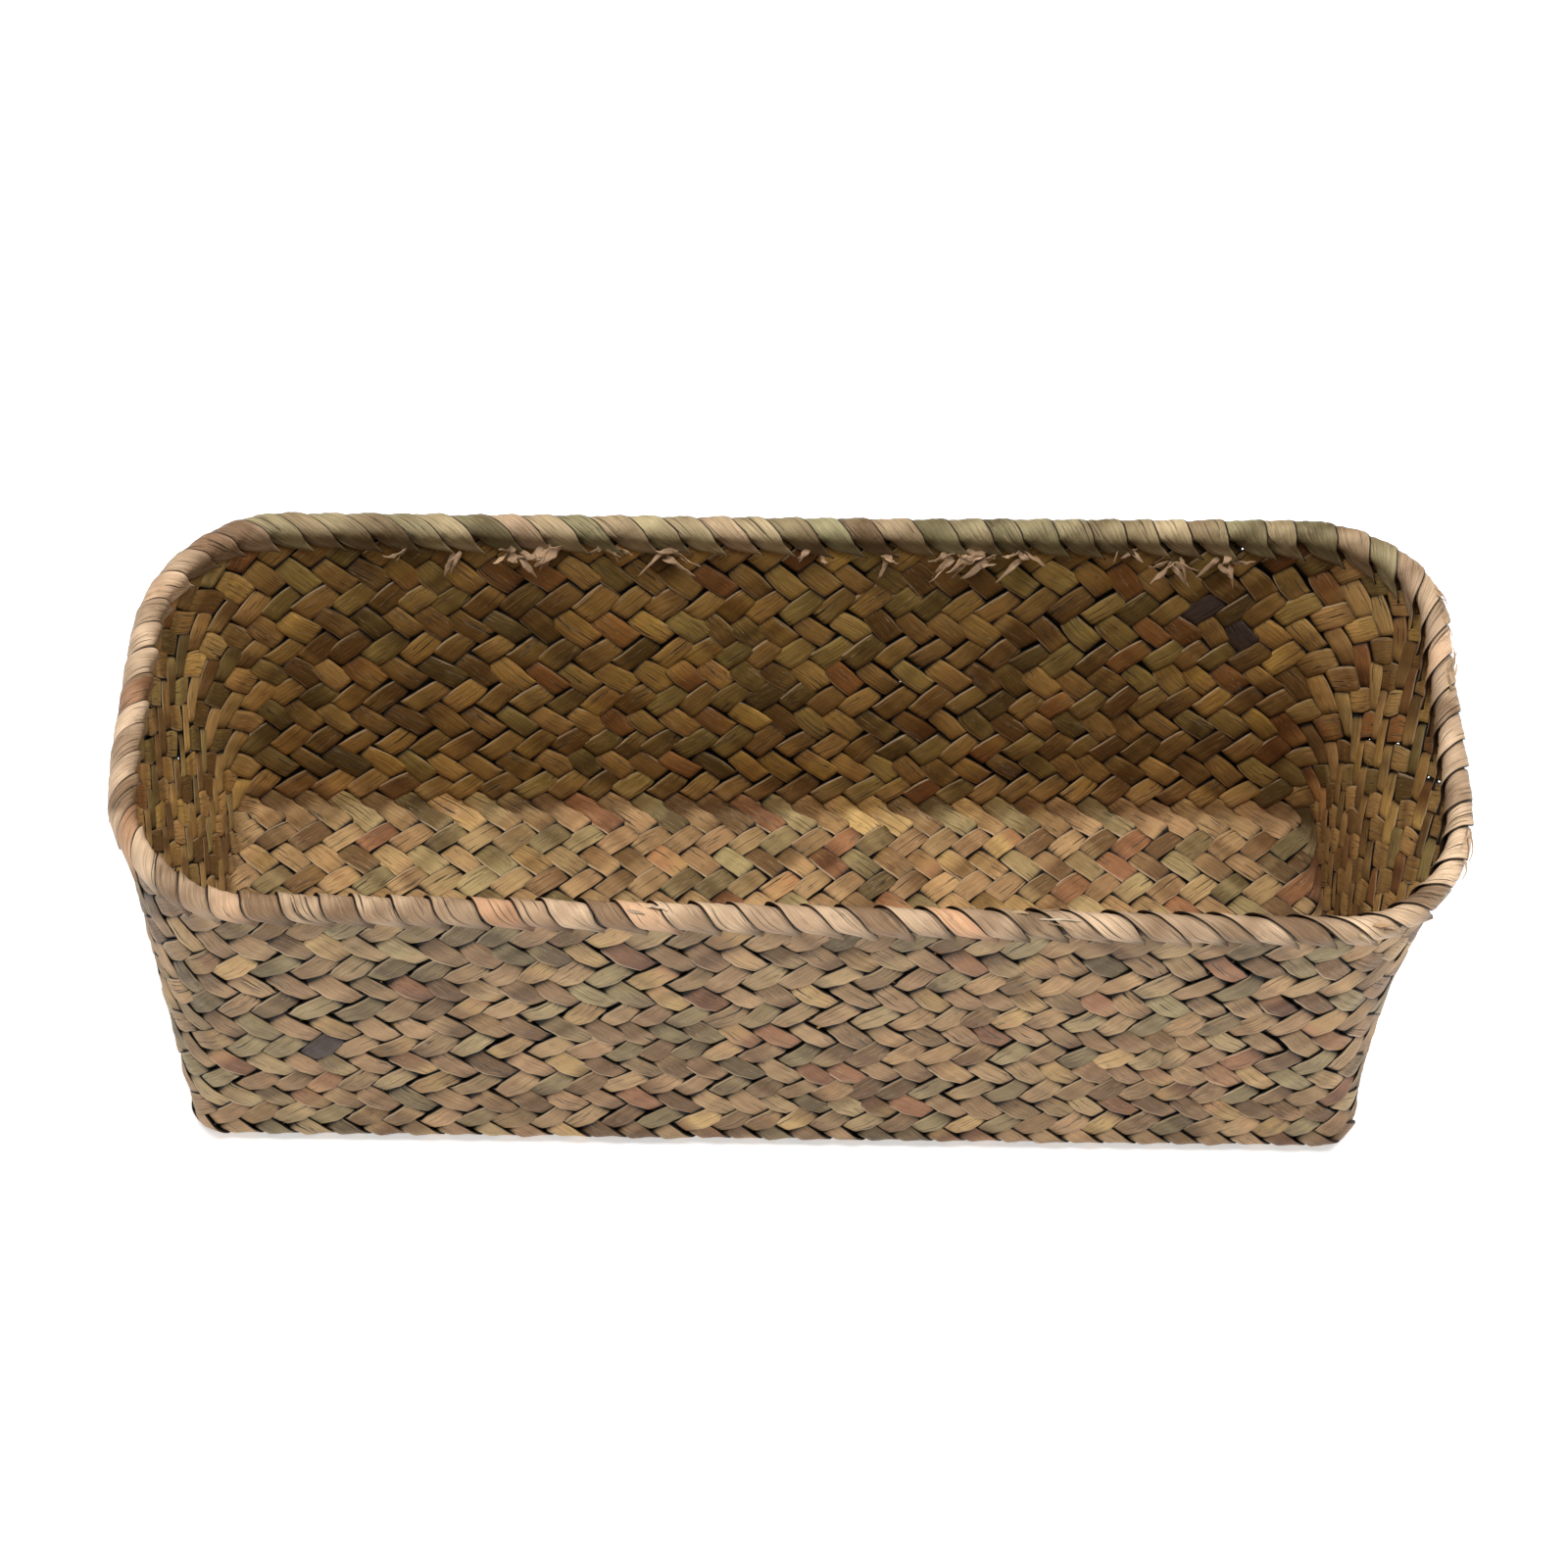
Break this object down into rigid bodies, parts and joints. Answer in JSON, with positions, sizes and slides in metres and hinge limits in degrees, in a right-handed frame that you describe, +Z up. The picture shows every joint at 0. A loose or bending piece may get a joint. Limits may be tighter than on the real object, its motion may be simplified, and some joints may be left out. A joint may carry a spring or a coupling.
{
  "type": "woven bread basket",
  "caption": "Long open basket with rounded corners and flared sides, plaited on the diagonal from flat dry grass strands, with a wrapped rim.",
  "frame": {"origin": "middle of the underside of the base, at the level of what the basket stands on", "axes": "+X along the length, +Y from the front wall to the back wall, +Z up out of the mouth"},
  "size_m": [0.3, 0.124, 0.097],
  "materials": {
    "wall_weave": "dry matt grass strands, tan to olive",
    "base_weave": "dry matt grass strands, pale tan",
    "rim_wraps": "dry grass strands with a faint sheen, pinkish tan",
    "core_grass": "dull twisted grass, hidden by the wraps",
    "loose_ends": "bleached frayed grass"
  },
  "bodies": {
    "root": {"back_wall": "wall_weave", "base_mat": "base_weave", "corner_back_left": "wall_weave", "corner_back_right": "wall_weave", "corner_front_left": "wall_weave", "corner_front_right": "wall_weave", "front_wall": "wall_weave", "left_wall": "wall_weave", "right_wall": "wall_weave", "rim_core": "core_grass", "rim_wrap_01": "rim_wraps", "rim_wrap_02": "rim_wraps", "rim_wrap_03": "rim_wraps", "rim_wrap_04": "rim_wraps", "rim_wrap_05": "rim_wraps", "rim_wrap_06": "rim_wraps", "rim_wrap_07": "rim_wraps", "rim_wrap_08": "rim_wraps", "rim_wrap_09": "rim_wraps", "rim_wrap_10": "rim_wraps", "rim_wrap_11": "rim_wraps", "rim_wrap_12": "rim_wraps", "rim_wrap_13": "rim_wraps", "rim_wrap_14": "rim_wraps", "rim_wrap_15": "rim_wraps", "rim_wrap_16": "rim_wraps", "rim_wrap_17": "rim_wraps", "rim_wrap_18": "rim_wraps", "rim_wrap_19": "rim_wraps", "rim_wrap_20": "rim_wraps", "rim_wrap_21": "rim_wraps", "rim_wrap_22": "rim_wraps", "rim_wrap_23": "rim_wraps", "rim_wrap_24": "rim_wraps", "rim_wrap_25": "rim_wraps", "rim_wrap_26": "rim_wraps", "rim_wrap_27": "rim_wraps", "rim_wrap_28": "rim_wraps", "rim_wrap_29": "rim_wraps", "rim_wrap_30": "rim_wraps", "rim_wrap_31": "rim_wraps", "rim_wrap_32": "rim_wraps", "rim_wrap_33": "rim_wraps", "rim_wrap_34": "rim_wraps", "rim_wrap_35": "rim_wraps", "rim_wrap_36": "rim_wraps", "rim_wrap_37": "rim_wraps", "rim_wrap_38": "rim_wraps", "rim_wrap_39": "rim_wraps", "rim_wrap_40": "rim_wraps", "rim_wrap_41": "rim_wraps", "rim_wrap_42": "rim_wraps", "rim_wrap_43": "rim_wraps", "rim_wrap_44": "rim_wraps", "rim_wrap_45": "rim_wraps", "rim_wrap_46": "rim_wraps", "rim_wrap_47": "rim_wraps", "tucked_end_1": "loose_ends", "tucked_end_2": "loose_ends", "tucked_end_3": "loose_ends"}
  },
  "joints": []
}
